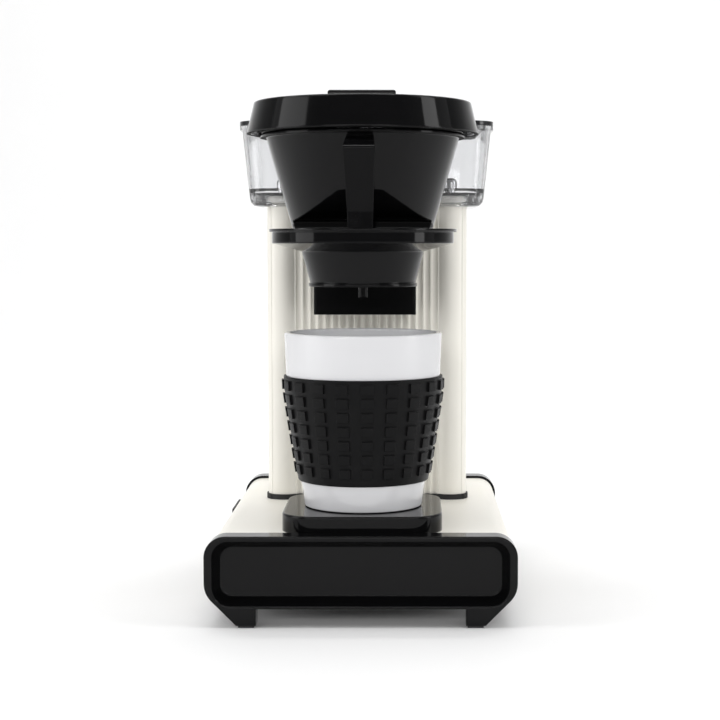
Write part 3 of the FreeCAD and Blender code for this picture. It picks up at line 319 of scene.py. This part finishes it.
def band(name, inner, outer, to_world, proud, material, body):
    """A thin raised piece between two closed lines of equal length, in the plane that to_world gives."""
    count = len(outer)
    corners = []
    for line in (inner, outer):
        for height in (-BAND_SINK, proud):
            corners.extend(to_world(u, v, height) for u, v in line)
    low_in, high_in, low_out, high_out = range(0, 4 * count, count)
    faces = []
    for a, b in ((low_out, high_out), (high_out, high_in), (high_in, low_in), (low_in, low_out)):
        for i in range(count):
            j = (i + 1) % count
            faces.append((a + i, a + j, b + j, b + i))
    mesh = bpy.data.meshes.new(name)
    mesh.from_pydata(corners, [], faces)
    mesh.validate()
    mesh.materials.append(material)
    made = link_object(name, mesh)
    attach(made, body)


def on_rocker(along, up, proud):
    """World point of a spot on the rocker's outer face; along runs to the back."""
    turn = math.radians(ROCKER_TILT)
    out = -(ROCKER_DISH + abs(along) * ROCKER_SLOPE + proud)
    x = out * math.cos(turn) - along * math.sin(turn)
    y = out * math.sin(turn) + along * math.cos(turn)
    return (MM * (ROCKER_PIN[0] + x), MM * (ROCKER_PIN[1] + y), MM * (ROCKER_PIN[2] + up))


def ring_line(middle, radius, count=48):
    line = []
    for i in range(count):
        angle = 2 * math.pi * i / count
        line.append((middle + radius * math.cos(angle), radius * math.sin(angle)))
    return line


def stadium_line(middle, half_width, half_height, count=24):
    """A closed upright line with round ends."""
    straight = half_height - half_width
    line = []
    for i in range(2 * count):
        angle = math.pi * (i + 0.5) / count
        shift = straight if i < count else -straight
        line.append((middle + half_width * math.cos(angle), shift + half_width * math.sin(angle)))
    return line


def make_rocker_marks():
    """The usual on and off signs of a power switch, printed on the two halves of the rocker."""
    ink = Finish("mark_print", PRINT, rough=0.5).tone(scale=200, share=0.05).wear(scale=300, swing=0.08)
    off = (ring_line(-MARK_REACH, OFF_INNER), ring_line(-MARK_REACH, OFF_OUTER))
    on = (stadium_line(MARK_REACH, *ON_INNER), stadium_line(MARK_REACH, *ON_OUTER))
    for name, (inner, outer) in (("mark_off", off), ("mark_on", on)):
        band(name, inner, outer, on_rocker, MARK_PROUD, ink.material, "rocker")


def cross_line(arm, half):
    """Outline of an upright cross with four equal arms."""
    quarter = [(arm, -half), (arm, half), (half, half)]
    line = []
    for turn in range(4):
        for u, v in quarter:
            for _ in range(turn):
                u, v = -v, u
            line.append((u, v))
    return line


def make_painted_screw_crosses():
    """A flat dark cross on each screw head at the back of the base: painted shade that stands in for its
    cross recess.
    """
    shade = (Finish("painted_recess_shade", PAINTED_RECESS_SHADE, rough=0.6, metallic=0.6)
             .tone(scale=300, share=0.2).wear(scale=300, swing=0.1))
    low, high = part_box("rear_screws")
    head_radius = (high.z - low.z) / 2
    height = (high.z + low.z) / 2
    for side, reach in (("left", low.x + head_radius), ("right", high.x - head_radius)):
        def on_head(u, v, proud, reach=reach):
            return (reach - MM * u, high.y + MM * proud, height + MM * v)
        band("painted_recess_" + side, cross_line(*CROSS_INNER), cross_line(*CROSS_OUTER),
             on_head, CROSS_PROUD, shade.material, "base")


def make_sweep():
    """The floor, which rises in a quarter round into a wall behind the object."""
    paper = Finish("floor_paper", PAPER, rough=0.75).tone(scale=2, share=0.01).wear(scale=8, swing=0.05)
    line = [(SWEEP_FRONT, 0.0)]
    for step in range(SWEEP_STEPS + 1):
        angle = math.radians(90 * step / SWEEP_STEPS)
        line.append((SWEEP_BEND + SWEEP_RADIUS * math.sin(angle), SWEEP_RADIUS * (1 - math.cos(angle))))
    line.append((SWEEP_BEND + SWEEP_RADIUS, SWEEP_TOP))
    half = SWEEP_WIDTH / 2
    corners = [(x, y, z - FLOOR_GAP) for y, z in line for x in (-half, half)]
    faces = [(2 * i, 2 * i + 1, 2 * i + 3, 2 * i + 2) for i in range(len(line) - 1)]
    mesh = bpy.data.meshes.new("floor")
    mesh.from_pydata(corners, [], faces)
    mesh.materials.append(paper.material)
    mesh.polygons.foreach_set("use_smooth", [True] * len(faces))
    link_object("floor", mesh)


def soft_light(name, place, target, size, power):
    """A rectangular lamp that faces its target; metres and watts."""
    data = bpy.data.lights.new(name, "AREA")
    data.shape = "RECTANGLE"
    data.size, data.size_y = size
    data.energy = power
    made = link_object(name, data)
    made.location = place
    made.rotation_euler = (Vector(target) - Vector(place)).to_track_quat("-Z", "Y").to_euler()


def make_lamps():
    middle = (0, 0, 0.14)
    soft_light("left_softbox", place=(-1.2, -0.35, 0.60), target=middle, size=(0.7, 1.2), power=6.5)
    soft_light("right_softbox", place=(1.2, -0.35, 0.60), target=middle, size=(0.35, 1.2), power=5.0)
    soft_light("front_fill", place=(0, -1.8, 0.68), target=middle, size=(2.6, 0.4), power=16)
    soft_light("wall_wash", place=(0, 0.75, 1.9), target=(0, 1.9, 0.7), size=(3.0, 0.5), power=30)
    soft_light("top_light", place=(0, -0.1, 1.6), target=(0, -0.05, 0), size=(1.3, 0.8), power=10)


def make_room():
    """A white world that is dimmer in front of the object than behind it."""
    world = bpy.data.worlds.new("studio")
    world.use_nodes = True
    tree = world.node_tree
    background = tree.nodes["Background"]
    background.inputs["Color"].default_value = (1, 1, 1, 1)
    place = tree.nodes.new("ShaderNodeTexCoord")
    split = tree.nodes.new("ShaderNodeSeparateXYZ")
    level = tree.nodes.new("ShaderNodeMapRange")
    level.inputs["From Min"].default_value = -ROOM_LEAN
    level.inputs["From Max"].default_value = ROOM_LEAN
    level.inputs["To Min"].default_value = ROOM_FRONT
    level.inputs["To Max"].default_value = ROOM_BACK
    tree.links.new(place.outputs["Generated"], split.inputs["Vector"])
    tree.links.new(split.outputs["Y"], level.inputs["Value"])
    tree.links.new(level.outputs["Result"], background.inputs["Strength"])
    bpy.context.scene.world = world


def make_camera():
    data = bpy.data.cameras.new("camera")
    data.sensor_width = SENSOR_MM
    data.lens = FOCAL_PX / FRAME_PX * SENSOR_MM
    data.shift_x = (FRAME_PX / 2 - PRINCIPAL_X_PX) / FRAME_PX
    made = link_object("camera", data)
    made.location = CAMERA_PLACE
    made.rotation_euler = (math.radians(90 + CAMERA_PITCH), 0, 0)
    bpy.context.scene.camera = made


dress_nodes(make_finishes())
make_rocker_marks()
make_painted_screw_crosses()
make_sweep()
make_lamps()
make_room()
make_camera()
bpy.context.scene.view_settings.view_transform = "Standard"
